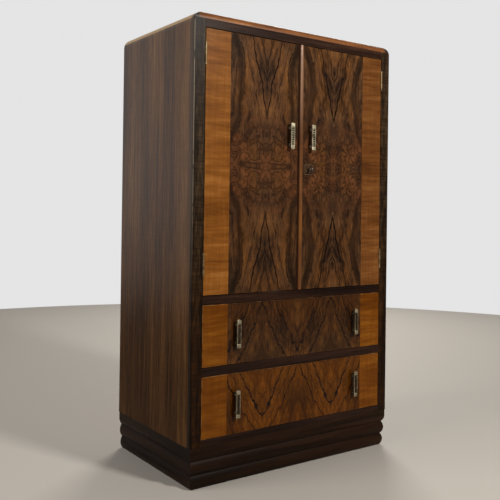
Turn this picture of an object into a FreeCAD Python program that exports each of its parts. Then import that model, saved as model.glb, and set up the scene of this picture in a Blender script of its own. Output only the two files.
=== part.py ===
import FreeCAD, Part
import Sketcher
import math
import os
import re

# A tallboy: a cupboard with two flush doors over two drawers, on a banded plinth.
# X runs to the right, the front faces -Y, Z is up and the floor is at zero. Lengths are in millimetres.

# Driving dimensions
SIZES = {
    # carcass
    "carcass_width": 712,
    "carcass_depth": 424,
    "side_thickness": 18,
    "back_thickness": 6,
    "back_rebate": 9,
    "housing_depth": 6,
    "floor_thickness": 17,
    "top_thickness": 18,
    "top_front_round": 16,
    "top_side_round": 28,
    # face frame
    "stile_width": 33,
    "stile_depth": 18,
    "stile_lip": 12,
    "rail_depth": 55,
    "bottom_rail_height": 17,
    "mid_rail_height": 23,
    "top_rail_height": 23,
    "tenon_length": 14,
    "tenon_thickness": 7,
    "tenon_setback": 5,
    "tenon_shoulder": 4,
    # openings between the rails
    "drawer_opening_height": 165,
    "door_opening_height": 705,
    # plinth
    "plinth_band_height": 37,
    "plinth_inset": 1.5,
    "plinth_step": 2.4,
    "plinth_bulge": 6,
    "plinth_thickness": 22,
    "plinth_back_thickness": 18,
    # shelves
    "shelf_thickness": 15,
    "shelf_clearance": 0.5,
    "lower_shelf_rise": 230,
    "upper_shelf_rise": 482,
    # doors
    "door_thickness": 19,
    "door_gap": 2,
    "meeting_gap": 2,
    "bead_width": 17,
    "bead_proud": 5,
    "crossband_width": 78,
    "veneer_thickness": 1,
    # hinges
    "hinge_length": 60,
    "hinge_top_offset": 38,
    "hinge_bottom_offset": 52,
    "hinge_forward": 0.5,
    "leaf_width": 15,
    "leaf_thickness": 1.5,
    "leaf_slack": 0.4,
    "knuckle_radius": 3,
    "knuckle_gap": 0.3,
    "notch_clearance": 0.3,
    "pin_radius": 1.5,
    "pin_clearance": 0.05,
    # bar handles
    "handle_length": 78,
    "handle_width": 12.5,
    "handle_thickness": 3.5,
    "handle_standoff": 11.5,
    "handle_tip_length": 3,
    "handle_tip_thickness": 2.5,
    "handle_tip_inset": 1.5,
    "channel_length": 56,
    "channel_width": 5,
    "channel_depth": 1.6,
    "post_spacing": 49,
    "post_radius": 3,
    "door_handle_x": 38.5,
    "handle_key_gap": 38.5,
    "drawer_handle_x": 214.5,
    "screw_radius": 1.6,
    "screw_grip": 8,
    "screw_head_radius": 3.6,
    "screw_head_height": 2,
    # lock, key and escutcheon
    "key_setback": 38.5,
    "key_rise": 346.5,
    "escutcheon_width": 28,
    "escutcheon_height": 29,
    "escutcheon_thickness": 1.5,
    "keyhole_radius": 2.4,
    "keyhole_slot_width": 3.2,
    "lock_tail": 14,
    "lock_height": 44,
    "lock_thickness": 11,
    "lock_wall": 1.5,
    "bolt_length": 42,
    "bolt_height": 10,
    "bolt_thickness": 5,
    "bolt_travel": 8,
    "bolt_clearance": 0.4,
    "strike_clearance": 1,
    "key_shank_radius": 2,
    "key_bit_reach": 7,
    "key_bit_thickness": 2.4,
    "key_bit_length": 4.5,
    "key_bow_radius": 7,
    "key_bow_hole_radius": 4,
    "key_bow_thickness": 2.6,
    "key_bow_centre": 13,
    "key_clearance": 0.5,
    # drawers
    "drawer_gap": 1.5,
    "drawer_slide_clearance": 0.2,
    "drawer_length": 400,
    "drawer_front_thickness": 20,
    "drawer_side_thickness": 12,
    "drawer_side_drop": 15,
    "drawer_back_thickness": 12,
    "drawer_back_drop": 22,
    "drawer_back_setback": 5,
    "drawer_bottom_thickness": 5,
    "drawer_bottom_rise": 10,
    "drawer_groove_depth": 6,
    "tail_length": 13,
    # drawer runners and stops
    "runner_width": 30,
    "stop_width": 40,
    "stop_depth": 15,
    "stop_height": 6,
    "stop_x": 180,
    # how far a cutting shape runs past the face that it cuts
    "overrun": 2,
}

PLINTH_BANDS = 3
TAILS = 4
HINGE_KNUCKLES = 3
TAIL_END_SHARE = 0.66
TAIL_ROOT_SHARE = 0.46

# Places worked out from the driving dimensions
PLACES = {
    "half_width": "carcass_width / 2",
    "front_y": "-(carcass_depth - key_bow_centre - key_bow_radius) / 2",
    "back_y": "front_y + carcass_depth",
    "panel_y": "back_y - back_thickness",
    "rail_back_y": "front_y + rail_depth",
    "opening_x": "half_width - stile_width",
    "inner_x": "half_width - side_thickness",
    "housed_x": "inner_x + housing_depth",
    "plinth_top": f"{PLINTH_BANDS} * plinth_band_height",
    "plinth_round": "((plinth_band_height / 2) ^ 2 + plinth_bulge ^ 2) / (2 * plinth_bulge)",
    "lower_drawer_z": "plinth_top + bottom_rail_height",
    "upper_drawer_z": "lower_drawer_z + drawer_opening_height + mid_rail_height",
    "upper_drawer_top": "upper_drawer_z + drawer_opening_height",
    "door_z": "upper_drawer_top + mid_rail_height",
    "door_top": "door_z + door_opening_height",
    "top_z": "door_top + top_rail_height",
    "door_back_y": "front_y + door_thickness",
    "door_outer_x": "opening_x - door_gap",
    "left_meeting_x": "-(bead_width / 2 + meeting_gap)",
    "right_meeting_x": "-bead_width / 2",
    "hinge_x": "opening_x - door_gap / 2",
    "hinge_y": "front_y - hinge_forward",
    "notch_radius": "knuckle_radius + notch_clearance",
    "handle_back_y": "front_y - handle_standoff",
    "handle_front_y": "handle_back_y - handle_thickness",
    "key_x": "right_meeting_x + key_setback",
    "key_z": "door_z + key_rise",
    "door_handle_z": "key_z + escutcheon_height / 2 + handle_key_gap + handle_length / 2",
    "lock_y": "door_back_y - lock_thickness",
    "bolt_y": "door_back_y - lock_thickness / 2",
    "bolt_z": "key_z + key_bit_reach + key_clearance + bolt_height / 2",
    "key_end_y": "door_back_y - lock_wall - bolt_clearance",
    "drawer_x": "opening_x - drawer_gap",
    "drawer_inner_x": "drawer_x - drawer_side_thickness",
    "drawer_front_back_y": "front_y + drawer_front_thickness",
    "drawer_back_y": "front_y + drawer_length",
}

doc = FreeCAD.newDocument("tallboy")
sheet = doc.addObject("Spreadsheet::Sheet", "sizes")
nodes = []


def write_sheet():
    cells = [(alias, str(size)) for alias, size in SIZES.items()]
    cells += [(alias, f"={text}") for alias, text in PLACES.items()]
    for row, (alias, content) in enumerate(cells, start=1):
        sheet.set(f"A{row}", alias)
        sheet.set(f"B{row}", content)
        sheet.setAlias(f"B{row}", alias)
    doc.recompute()


def formula(text):
    def cell(match):
        word = match.group(0)
        return f"sizes.{word}" if word in SIZES or word in PLACES else word

    return re.sub(r"[a-z_]+", cell, text)


def bind(item, prop, text):
    item.setExpression(prop, formula(text))


def value(text):
    return float(sheet.evalExpression(formula(text)))


def add(kind, name):
    item = doc.addObject(kind, name)
    item.Label = name
    return item


def node(item):
    nodes.append(item)
    return item


# A span is a pair of formulas, the low and the high end along one axis.
def around(centre, width):
    return (f"({centre}) - ({width}) / 2", f"({centre}) + ({width}) / 2")


def mirrored(sign, inner, outer):
    return (f"-({outer})", f"-({inner})") if sign < 0 else (inner, outer)


def place(item, x, y, z):
    bind(item, "Placement.Base.x", x)
    bind(item, "Placement.Base.y", y)
    bind(item, "Placement.Base.z", z)


def box(name, x, y, z):
    item = add("Part::Box", name)
    for prop, (low, high) in (("Length", x), ("Width", y), ("Height", z)):
        bind(item, prop, f"({high}) - ({low})")
    place(item, x[0], y[0], z[0])
    return item


def upright_rod(name, radius, x, y, z):
    item = add("Part::Cylinder", name)
    bind(item, "Radius", radius)
    bind(item, "Height", f"({z[1]}) - ({z[0]})")
    place(item, x, y, z[0])
    return item


def turned_rod(name, radius, along, x, y, z):
    item = add("Part::Cylinder", name)
    bind(item, "Radius", radius)
    ends = {"x": x, "y": y}[along]
    bind(item, "Height", f"({ends[1]}) - ({ends[0]})")
    turn = {"x": FreeCAD.Rotation(0, 90, 0), "y": FreeCAD.Rotation(0, 0, -90)}[along]
    item.Placement = FreeCAD.Placement(FreeCAD.Vector(), turn)
    place(item, x[0] if along == "x" else x, y[0] if along == "y" else y, z)
    return item


def fuse(name, items):
    item = add("Part::MultiFuse", name)
    item.Shapes = items
    return item


def cut(name, base, tools):
    item = add("Part::Cut", name)
    item.Base = base
    item.Tool = tools[0] if len(tools) == 1 else fuse(f"{name}_cutters", tools)
    return item


def common(name, base, tool):
    item = add("Part::Common", name)
    item.Base = base
    item.Tool = tool
    return item


def group(name, items):
    item = add("Part::Compound", name)
    item.Links = items
    return item


# A closed outline on one of the body's own planes. Each point is a pair of formulas; a third entry gives
# the centre of the anticlockwise arc that leads from that point to the next one.
def outline(body, name, role, points):
    sketch = body.newObject("Sketcher::SketchObject", name)
    plane = next(feature for feature in body.Origin.OriginFeatures if feature.Role == role)
    sketch.AttachmentSupport = [(plane, "")]
    sketch.MapMode = "FlatFace"
    places = [FreeCAD.Vector(value(point[0]), value(point[1]), 0) for point in points]
    for index, point in enumerate(points):
        start = places[index]
        end = places[(index + 1) % len(points)]
        if len(point) == 3:
            centre = FreeCAD.Vector(value(point[2][0]), value(point[2][1]), 0)
            angles = [math.atan2(spot.y - centre.y, spot.x - centre.x) for spot in (start, end)]
            if angles[1] < angles[0]:
                angles[1] += 2 * math.pi
            circle = Part.Circle(centre, FreeCAD.Vector(0, 0, 1), start.distanceToPoint(centre))
            sketch.addGeometry(Part.ArcOfCircle(circle, *angles), False)
        else:
            sketch.addGeometry(Part.LineSegment(start, end), False)
    for index in range(len(points)):
        following = (index + 1) % len(points)
        sketch.addConstraint(Sketcher.Constraint("Coincident", index, 2, following, 1))
    for index, point in enumerate(points):
        steady = [("DistanceX", 1, point[0]), ("DistanceY", 1, point[1])]
        if len(point) == 3:
            steady.append(("DistanceX", 3, point[2][0]))
        for kind, corner, text in steady:
            number = sketch.addConstraint(Sketcher.Constraint(kind, index, corner, value(text)))
            bind(sketch, f"Constraints[{number}]", text)
    return sketch


# One moulded plinth board along its own +X, with bulging bands facing its own -Y, each set in from the one
# above. The top band is flat down to its middle.
def plinth_board(name, length, turn, x, y):
    back = "plinth_inset + plinth_thickness"
    points = [(back, "plinth_top")]
    for band in range(PLINTH_BANDS):
        face = f"plinth_inset + {band} * plinth_step"
        edge = f"{face} + plinth_bulge"
        top = f"plinth_top - {band} * plinth_band_height"
        middle = f"{top} - plinth_band_height / 2"
        centre = (f"{face} + plinth_round", middle)
        if band == 0:
            points.append((face, top))
            points.append((face, middle, centre))
        else:
            points.append((edge, top, centre))
        points.append((edge, f"{top} - plinth_band_height"))
    points.append((back, "0"))
    body = add("PartDesign::Body", name)
    sketch = outline(body, f"{name}_profile", "YZ_Plane", points)
    pad = body.newObject("PartDesign::Pad", f"{name}_length")
    pad.Profile = sketch
    bind(pad, "Length", length)
    body.Placement = FreeCAD.Placement(FreeCAD.Vector(), FreeCAD.Rotation(turn, 0, 0))
    place(body, x, y, "0")
    return body


# A turned block with one corner on a carcass corner, which takes a board's end off at the mitre.
def mitre_block(name, turn, x):
    reach = "2 * plinth_thickness + 2 * plinth_inset"
    item = box(name, ("0", reach), ("0", reach), ("-overrun", "plinth_top + overrun"))
    item.Placement = FreeCAD.Placement(FreeCAD.Vector(), FreeCAD.Rotation(turn, 0, 0))
    place(item, x, "front_y", "-overrun")
    return item


def make_plinth():
    left_x, right_x = "-half_width", "half_width"
    front = plinth_board("plinth_front_stock", "carcass_width", 0, left_x, "front_y")
    left = plinth_board("plinth_left_stock", "carcass_depth", -90, left_x, "back_y")
    right = plinth_board("plinth_right_stock", "carcass_depth", 90, right_x, "front_y")
    corners = {"left": left_x, "right": right_x}
    blocks = [mitre_block(f"front_{side}_mitre", 45, x) for side, x in corners.items()]
    node(cut("plinth_front", front, blocks))
    node(cut("plinth_left", left, [mitre_block("left_mitre", -45, left_x)]))
    node(cut("plinth_right", right, [mitre_block("right_mitre", 135, right_x)]))
    inner = "half_width - plinth_inset - plinth_thickness"
    across = (f"-({inner})", inner)
    node(box("plinth_back", across, ("back_y - plinth_back_thickness", "back_y"), ("0", "plinth_top")))


# What is taken off along each rounded top edge: a bar, less the roll that stays
def make_top_waste():
    high = "top_z + top_thickness"
    depth = ("front_y - overrun", "back_y + overrun")
    level = f"{high} - top_side_round"
    waste = {}
    for side, sign in (("left", -1), ("right", 1)):
        bar_x = mirrored(sign, "half_width - top_side_round", "half_width + overrun")
        bar = box(f"top_{side}_bar", bar_x, depth, (level, f"{high} + overrun"))
        roll_x = f"{sign} * (half_width - top_side_round)"
        roll = turned_rod(f"top_{side}_roll", "top_side_round", "y", roll_x, depth, level)
        waste[side] = cut(f"top_{side}_waste", bar, [roll])
    across = ("-half_width - overrun", "half_width + overrun")
    level = f"{high} - top_front_round"
    roll_y = "front_y + top_front_round"
    bar = box("top_front_bar", across, ("front_y - overrun", roll_y), (level, f"{high} + overrun"))
    roll = turned_rod("top_front_roll", "top_front_round", "x", across, roll_y, level)
    waste["front"] = cut("top_front_waste", bar, [roll])
    return waste


def make_top(waste):
    width = ("-half_width", "half_width")
    stock = box("top_stock", width, ("front_y", "back_y"), ("top_z", "top_z + top_thickness"))
    node(cut("top_board", stock, list(waste.values())))


# Boards across the carcass that are let into the sides
def make_boards():
    across = ("-housed_x", "housed_x")
    behind_rails = ("rail_back_y", "panel_y")
    boards = [
        box("carcass_bottom", across, behind_rails, ("plinth_top", "lower_drawer_z")),
        box("cupboard_floor", across, behind_rails, ("door_z - floor_thickness", "door_z")),
    ]
    for name, rise in (("shelf_lower", "lower_shelf_rise"), ("shelf_upper", "upper_shelf_rise")):
        low = f"door_z + {rise}"
        depth = ("door_back_y + shelf_clearance", "panel_y")
        boards.append(box(name, across, depth, (low, f"{low} + shelf_thickness")))
    rebated_x = "half_width - back_rebate"
    panel_x = (f"-({rebated_x})", rebated_x)
    boards.append(box("back_panel", panel_x, ("panel_y", "back_y"), ("plinth_top", "top_z")))
    return [node(board) for board in boards]


def make_rail(name, low, high):
    bar = box(f"{name}_bar", ("-opening_x", "opening_x"), ("front_y", "rail_back_y"), (low, high))
    tenon_y = ("front_y + tenon_setback", "front_y + tenon_setback + tenon_thickness")
    tenon_z = (f"{low} + tenon_shoulder", f"{high} - tenon_shoulder")
    tenons = []
    for side, sign in (("left", -1), ("right", 1)):
        tenon_x = mirrored(sign, "opening_x", "opening_x + tenon_length")
        tenons.append(box(f"{name}_tenon_{side}", tenon_x, tenon_y, tenon_z))
    return node(fuse(name, [bar] + tenons))


def make_rails():
    return [
        make_rail("top_rail", "door_top", "top_z"),
        make_rail("door_rail", "upper_drawer_top", "door_z"),
        make_rail("drawer_rail", "upper_drawer_z - mid_rail_height", "upper_drawer_z"),
        make_rail("bottom_rail", "plinth_top", "lower_drawer_z"),
    ]


# A butt hinge: the frame leaf has the outer knuckles and the pin, the door leaf has the middle knuckle.
def make_hinge(name, sign, low):
    x = f"{sign} * hinge_x"
    share = f"hinge_length / {HINGE_KNUCKLES}"
    ends = (low, f"{low} + hinge_length")
    first = (low, f"{low} + {share}")
    last = (f"{low} + hinge_length - {share}", ends[1])
    middle = (f"{first[1]} + knuckle_gap", f"{last[0]} - knuckle_gap")
    leaf_y = ("hinge_y", "hinge_y + leaf_width")

    def rod(part, radius, span):
        return upright_rod(f"{name}_{part}", radius, x, "hinge_y", span)

    near = "hinge_x - leaf_slack / 2"
    far = "hinge_x + leaf_slack / 2"
    frame_plate = box(f"{name}_frame_plate", mirrored(sign, far, f"{far} + leaf_thickness"), leaf_y, ends)
    door_plate = box(f"{name}_door_plate", mirrored(sign, f"{near} - leaf_thickness", near), leaf_y, ends)
    bore = rod("bore", "pin_radius + pin_clearance", (f"{low} - overrun", f"{ends[1]} + overrun"))
    frame_relief = rod("frame_relief", "notch_radius", (first[1], last[0]))
    door_reliefs = [
        rod("door_relief_low", "notch_radius", (f"{low} - overrun", middle[0])),
        rod("door_relief_high", "notch_radius", (middle[1], f"{ends[1]} + overrun")),
    ]
    relieved_frame = cut(f"{name}_frame_plate_relieved", frame_plate, [frame_relief])
    low_knuckle = rod("frame_knuckle_low", "knuckle_radius", first)
    high_knuckle = rod("frame_knuckle_high", "knuckle_radius", last)
    frame_stock = fuse(f"{name}_frame_stock", [relieved_frame, low_knuckle, high_knuckle])
    relieved_door = cut(f"{name}_door_plate_relieved", door_plate, door_reliefs)
    door_stock = fuse(f"{name}_door_stock", [relieved_door, rod("door_knuckle", "knuckle_radius", middle)])
    return {
        "frame_leaf": cut(f"{name}_frame_leaf", frame_stock, [bore]),
        "door_leaf": cut(f"{name}_door_leaf", door_stock, [bore]),
        "pin": rod("pin", "pin_radius", ends),
        "notch": rod("notch", "notch_radius", (f"{low} - notch_clearance", f"{ends[1]} + notch_clearance")),
    }


def make_hinges():
    lows = {
        "lower": "door_z + hinge_bottom_offset",
        "upper": "door_top - hinge_top_offset - hinge_length",
    }
    hinges = {}
    for side, sign in (("left", -1), ("right", 1)):
        hinges[side] = [make_hinge(f"{side}_{level}_hinge", sign, low) for level, low in lows.items()]
    both = hinges["left"] + hinges["right"]
    node(group("frame_hinge_leaves", [hinge["frame_leaf"] for hinge in both]))
    node(group("hinge_pins", [hinge["pin"] for hinge in both]))
    for side in hinges:
        node(group(f"{side}_door_hinge_leaves", [hinge["door_leaf"] for hinge in hinges[side]]))
    return hinges


def make_stiles(rails, hinges, waste):
    for side, sign in (("left", -1), ("right", 1)):
        height = ("plinth_top", "top_z")
        lip_x = mirrored(sign, "opening_x", "half_width")
        lip = box(f"stile_{side}_lip", lip_x, ("front_y", "front_y + stile_lip"), height)
        tongue_x = mirrored(sign, "opening_x", "inner_x")
        tongue = box(f"stile_{side}_tongue", tongue_x, ("front_y", "front_y + stile_depth"), height)
        stock = fuse(f"stile_{side}_stock", [lip, tongue])
        leaves = [hinge["frame_leaf"] for hinge in hinges[side]]
        notches = [hinge["notch"] for hinge in hinges[side]]
        node(cut(f"stile_{side}", stock, rails + leaves + notches + [waste[side]]))


def make_sides(boards, waste):
    for side, sign in (("left", -1), ("right", 1)):
        x = mirrored(sign, "inner_x", "half_width")
        stock = box(f"side_{side}_stock", x, ("front_y + stile_lip", "back_y"), ("plinth_top", "top_z"))
        node(cut(f"side_{side}", stock, boards + [waste[side]]))


# Guides pack the sides out level with the stiles, and carry the upper drawer's runners.
def make_guides():
    for side, sign in (("left", -1), ("right", 1)):
        guide_y = ("front_y + stile_depth", "panel_y")
        guide_z = ("lower_drawer_z", "door_z - floor_thickness")
        node(box(f"guide_{side}", mirrored(sign, "opening_x", "inner_x"), guide_y, guide_z))
        runner_x = mirrored(sign, "opening_x - runner_width", "opening_x")
        runner_z = ("upper_drawer_z - mid_rail_height", "upper_drawer_z")
        node(box(f"runner_{side}", runner_x, ("rail_back_y", "panel_y"), runner_z))


# Blocks on the rails that stop each drawer front flush with the frame
def make_stops():
    stops = []
    stop_face = "drawer_front_back_y + drawer_slide_clearance"
    stop_y = (stop_face, f"{stop_face} + stop_depth")
    for drawer in ("lower", "upper"):
        low = f"{drawer}_drawer_z"
        for side, sign in (("left", -1), ("right", 1)):
            stop_x = around(f"{sign} * stop_x", "stop_width")
            stops.append(box(f"{drawer}_{side}_stop", stop_x, stop_y, (low, f"{low} + stop_height")))
    node(group("drawer_stops", stops))


# Screws into the two posts of each handle, with heads sunk flush in the back of the door or drawer front
def make_handle_screws(name, xs, z, back_y):
    screws = []
    for place_name, x in xs.items():
        for level, sign in (("low", -1), ("high", 1)):
            part = f"{name}_{place_name}_{level}"
            post_z = f"({z}) + {sign} * post_spacing / 2"
            shank_y = ("front_y - screw_grip", back_y)
            head_y = (f"{back_y} - screw_head_height", back_y)
            shank = turned_rod(f"{part}_shank", "screw_radius", "y", x, shank_y, post_z)
            head = turned_rod(f"{part}_head", "screw_head_radius", "y", x, head_y, post_z)
            screws.append(fuse(part, [shank, head]))
    return node(group(name, screws))


# An upright bar with thinner stepped tips and a sunk channel, on two posts
def make_handle(name, x, z, screws):
    bar_length = "handle_length - 2 * handle_tip_length"
    bar_y = ("handle_front_y", "handle_back_y")
    bar = box(f"{name}_bar", around(x, "handle_width"), bar_y, around(z, bar_length))
    tip_x = around(x, "handle_width - 2 * handle_tip_inset")
    tip_y = ("handle_back_y - handle_tip_thickness", "handle_back_y")
    tips = box(f"{name}_tips", tip_x, tip_y, around(z, "handle_length"))
    channel_y = ("handle_front_y - overrun", "handle_front_y + channel_depth")
    channel = box(f"{name}_channel", around(x, "channel_width"), channel_y, around(z, "channel_length"))
    posts = []
    for level, sign in (("low", -1), ("high", 1)):
        post_z = f"({z}) + {sign} * post_spacing / 2"
        post_y = ("handle_back_y - handle_tip_thickness / 2", "front_y")
        posts.append(turned_rod(f"{name}_post_{level}", "post_radius", "y", x, post_y, post_z))
    stock = fuse(f"{name}_stock", [bar, tips] + posts)
    return node(cut(name, stock, [channel, screws]))


def crossband_strip(name, x, z):
    return box(name, x, ("front_y", "front_y + veneer_thickness"), z)


# The keyhole's round and slot, from in front of the escutcheon into the lock
def make_keyhole():
    depth = ("front_y - escutcheon_thickness - overrun", "lock_y + lock_wall + overrun")
    eye = turned_rod("keyhole_eye", "keyhole_radius", "y", "key_x", depth, "key_z")
    slot_z = ("key_z - key_bit_reach - key_clearance", "key_z")
    slot = box("keyhole_slot", around("key_x", "keyhole_slot_width"), depth, slot_z)
    return fuse("keyhole", [eye, slot])


def make_lock(keyhole):
    case_x = ("right_meeting_x", "key_x + lock_tail")
    case_stock = box("lock_case_stock", case_x, ("lock_y", "door_back_y"), around("key_z", "lock_height"))
    hollow_y = ("lock_y + lock_wall", "door_back_y - lock_wall")
    sweep = turned_rod("key_sweep", "key_bit_reach + key_clearance", "y", "key_x", hollow_y, "key_z")
    slot_x = ("right_meeting_x - overrun", "right_meeting_x + bolt_length + bolt_clearance")
    slot_y = around("bolt_y", "bolt_thickness + 2 * bolt_clearance")
    slot = box("bolt_slot", slot_x, slot_y, around("bolt_z", "bolt_height + 2 * bolt_clearance"))
    node(cut("lock_case", case_stock, [sweep, slot, keyhole]))
    bolt_x = ("right_meeting_x", "right_meeting_x + bolt_length")
    node(box("lock_bolt", bolt_x, around("bolt_y", "bolt_thickness"), around("bolt_z", "bolt_height")))
    return case_stock


def make_escutcheon(keyhole):
    plate_x = around("key_x", "escutcheon_width")
    plate_y = ("front_y - escutcheon_thickness", "front_y")
    plate = box("escutcheon_plate", plate_x, plate_y, around("key_z", "escutcheon_height"))
    node(cut("escutcheon", plate, [keyhole]))


def make_key():
    bow_y = "front_y - key_bow_centre"
    bow_x = around("key_x", "key_bow_thickness")
    ring = turned_rod("key_bow_disc", "key_bow_radius", "x", bow_x, bow_y, "key_z")
    hole_x = around("key_x", "key_bow_thickness + 2 * overrun")
    hole = turned_rod("key_bow_hole", "key_bow_hole_radius", "x", hole_x, bow_y, "key_z")
    bow = cut("key_bow", ring, [hole])
    shank_y = (f"{bow_y} + (key_bow_radius + key_bow_hole_radius) / 2", "key_end_y")
    shank = turned_rod("key_shank", "key_shank_radius", "y", "key_x", shank_y, "key_z")
    bit_y = around("door_back_y - lock_thickness / 2", "key_bit_length")
    bit = box("key_bit", around("key_x", "key_bit_thickness"), bit_y, ("key_z - key_bit_reach", "key_z"))
    node(fuse("key", [bow, shank, bit]))


# The pocket in the left door's edge that the lock's bolt enters
def make_strike_pocket():
    depth = "bolt_travel - meeting_gap + strike_clearance"
    pocket_x = (f"left_meeting_x - ({depth})", "left_meeting_x + overrun")
    pocket_y = around("bolt_y", "bolt_thickness + 2 * strike_clearance")
    return box("strike_pocket", pocket_x, pocket_y, around("bolt_z", "bolt_height + 2 * strike_clearance"))


def make_bead():
    radius = "(bead_width * bead_width / 4 + bead_proud * bead_proud) / (2 * bead_proud)"
    height = ("door_z + door_gap", "door_top - door_gap")
    roll = upright_rod("bead_roll", radius, "0", f"front_y - bead_proud + {radius}", height)
    strip_y = ("front_y - bead_proud - overrun", "front_y")
    strip = box("bead_strip", around("0", "bead_width"), strip_y, height)
    node(common("meeting_bead", roll, strip))


def make_door(side, x, crossband_x, hinges, pockets):
    height = ("door_z + door_gap", "door_top - door_gap")
    stock = box(f"{side}_door_stock", x, ("front_y", "door_back_y"), height)
    recesses = [hinge["door_leaf"] for hinge in hinges] + [hinge["notch"] for hinge in hinges]
    strip = crossband_strip(f"{side}_door_crossband_strip", crossband_x, height)
    node(cut(f"{side}_door_crossband", strip, recesses))
    handle_x = {"left": "-door_handle_x", "right": "door_handle_x"}[side]
    places = {"bar": handle_x}
    screws = make_handle_screws(f"{side}_door_handle_screws", places, "door_handle_z", "door_back_y")
    make_handle(f"{side}_door_handle", handle_x, "door_handle_z", screws)
    node(cut(f"{side}_door", stock, [strip, screws] + recesses + pockets))


def make_doors(hinges):
    keyhole = make_keyhole()
    case_stock = make_lock(keyhole)
    make_escutcheon(keyhole)
    make_key()
    make_bead()
    outer = "door_outer_x - crossband_width"
    left_x = ("-door_outer_x", "left_meeting_x")
    right_x = ("right_meeting_x", "door_outer_x")
    make_door("left", left_x, mirrored(-1, outer, "door_outer_x"), hinges["left"], [make_strike_pocket()])
    make_door("right", right_x, mirrored(1, outer, "door_outer_x"), hinges["right"], [case_stock, keyhole])


# A drawer side with dovetails at its front end, which lap into the drawer front
def make_drawer_side(drawer, side, sign, low, bottom):
    name = f"{drawer}_drawer_side_{side}"
    height = "drawer_opening_height - drawer_side_drop - drawer_slide_clearance"
    foot = f"{low} + drawer_slide_clearance"
    x = mirrored(sign, "drawer_inner_x", "drawer_x")
    board = box(f"{name}_board", x, ("drawer_front_back_y", "drawer_back_y"), (foot, f"{foot} + {height}"))
    tails = []
    for tail in range(TAILS):
        wedge = add("Part::Wedge", f"{name}_tail_{tail + 1}")
        end = f"({height}) / {TAILS} * {TAIL_END_SHARE}"
        root = f"({height}) / {TAILS} * {TAIL_ROOT_SHARE}"
        for low_prop, high_prop, span in (
            ("Xmin", "Xmax", ("0", "drawer_side_thickness")),
            ("X2min", "X2max", ("0", "drawer_side_thickness")),
            ("Ymin", "Ymax", ("0", "tail_length")),
            ("Zmin", "Zmax", around("0", end)),
            ("Z2min", "Z2max", around("0", root)),
        ):
            bind(wedge, low_prop, span[0])
            bind(wedge, high_prop, span[1])
        centre_z = f"{foot} + ({height}) / {TAILS} * ({tail} + 1 / 2)"
        place(wedge, x[0], "drawer_front_back_y - tail_length", centre_z)
        tails.append(wedge)
    stock = fuse(f"{name}_stock", [board] + tails)
    return node(cut(name, stock, [bottom]))


def make_drawer(drawer, low):
    name = f"{drawer}_drawer"
    base = f"{low} + drawer_bottom_rise"
    bottom_x = "drawer_inner_x + drawer_groove_depth"
    bottom_y = ("drawer_front_back_y - drawer_groove_depth", "drawer_back_y")
    bottom_z = (base, f"{base} + drawer_bottom_thickness")
    bottom = node(box(f"{name}_bottom", (f"-({bottom_x})", bottom_x), bottom_y, bottom_z))
    back_end = "drawer_back_y - drawer_back_setback"
    back_y = (f"{back_end} - drawer_back_thickness", back_end)
    back_z = (bottom_z[1], f"{low} + drawer_opening_height - drawer_back_drop")
    node(box(f"{name}_back", ("-drawer_inner_x", "drawer_inner_x"), back_y, back_z))
    front_z = (f"{low} + drawer_gap", f"{low} + drawer_opening_height - drawer_gap")
    front_y = ("front_y", "drawer_front_back_y")
    stock = box(f"{name}_front_stock", ("-drawer_x", "drawer_x"), front_y, front_z)
    sides = []
    crossbands = []
    for side, sign in (("left", -1), ("right", 1)):
        sides.append(make_drawer_side(drawer, side, sign, low, bottom))
        band_x = mirrored(sign, "drawer_x - crossband_width", "drawer_x")
        crossbands.append(node(crossband_strip(f"{name}_crossband_{side}", band_x, front_z)))
    handle_xs = {"left": "-drawer_handle_x", "right": "drawer_handle_x"}
    handle_z = f"{low} + drawer_opening_height / 2"
    screws = make_handle_screws(f"{name}_handle_screws", handle_xs, handle_z, "drawer_front_back_y")
    for side, x in handle_xs.items():
        make_handle(f"{name}_handle_{side}", x, handle_z, screws)
    node(cut(f"{name}_front", stock, crossbands + sides + [bottom, screws]))


def check_and_write():
    doc.recompute()
    for item in doc.Objects:
        if "Invalid" in item.State or "Error" in item.State:
            raise RuntimeError(f"{item.Label} failed to build")
    for item in nodes:
        if item.Shape.isNull() or not item.Shape.isValid() or not item.Shape.Solids:
            raise RuntimeError(f"{item.Label} has no valid solid")
    os.makedirs("parts", exist_ok=True)
    for item in nodes:
        item.Shape.exportStep(f"parts/{item.Label}.step")
    print(f"{len(nodes)} sub-parts written")


write_sheet()
make_plinth()
waste = make_top_waste()
make_top(waste)
boards = make_boards()
rails = make_rails()
hinges = make_hinges()
make_stiles(rails, hinges, waste)
make_sides(boards, waste)
make_guides()
make_stops()
make_doors(hinges)
for drawer in ("upper", "lower"):
    make_drawer(drawer, f"{drawer}_drawer_z")
check_and_write()
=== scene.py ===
import math

import bmesh
import bpy
from mathutils import Matrix, Vector


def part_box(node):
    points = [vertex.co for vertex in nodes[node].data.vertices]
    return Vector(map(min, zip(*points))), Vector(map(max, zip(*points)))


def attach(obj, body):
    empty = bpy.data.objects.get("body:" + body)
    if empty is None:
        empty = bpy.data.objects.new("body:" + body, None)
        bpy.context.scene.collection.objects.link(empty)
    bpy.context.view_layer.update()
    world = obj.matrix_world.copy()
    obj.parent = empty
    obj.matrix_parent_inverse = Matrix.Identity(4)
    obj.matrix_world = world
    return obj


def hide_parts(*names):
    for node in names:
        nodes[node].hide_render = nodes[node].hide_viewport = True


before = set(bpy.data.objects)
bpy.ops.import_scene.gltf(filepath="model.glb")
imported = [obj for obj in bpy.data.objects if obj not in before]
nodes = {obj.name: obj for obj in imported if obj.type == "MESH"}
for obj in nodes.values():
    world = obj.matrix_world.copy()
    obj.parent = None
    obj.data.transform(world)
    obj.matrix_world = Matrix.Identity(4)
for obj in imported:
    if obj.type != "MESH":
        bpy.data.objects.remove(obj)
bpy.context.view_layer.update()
print("frame:", len(nodes), "nodes")


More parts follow.
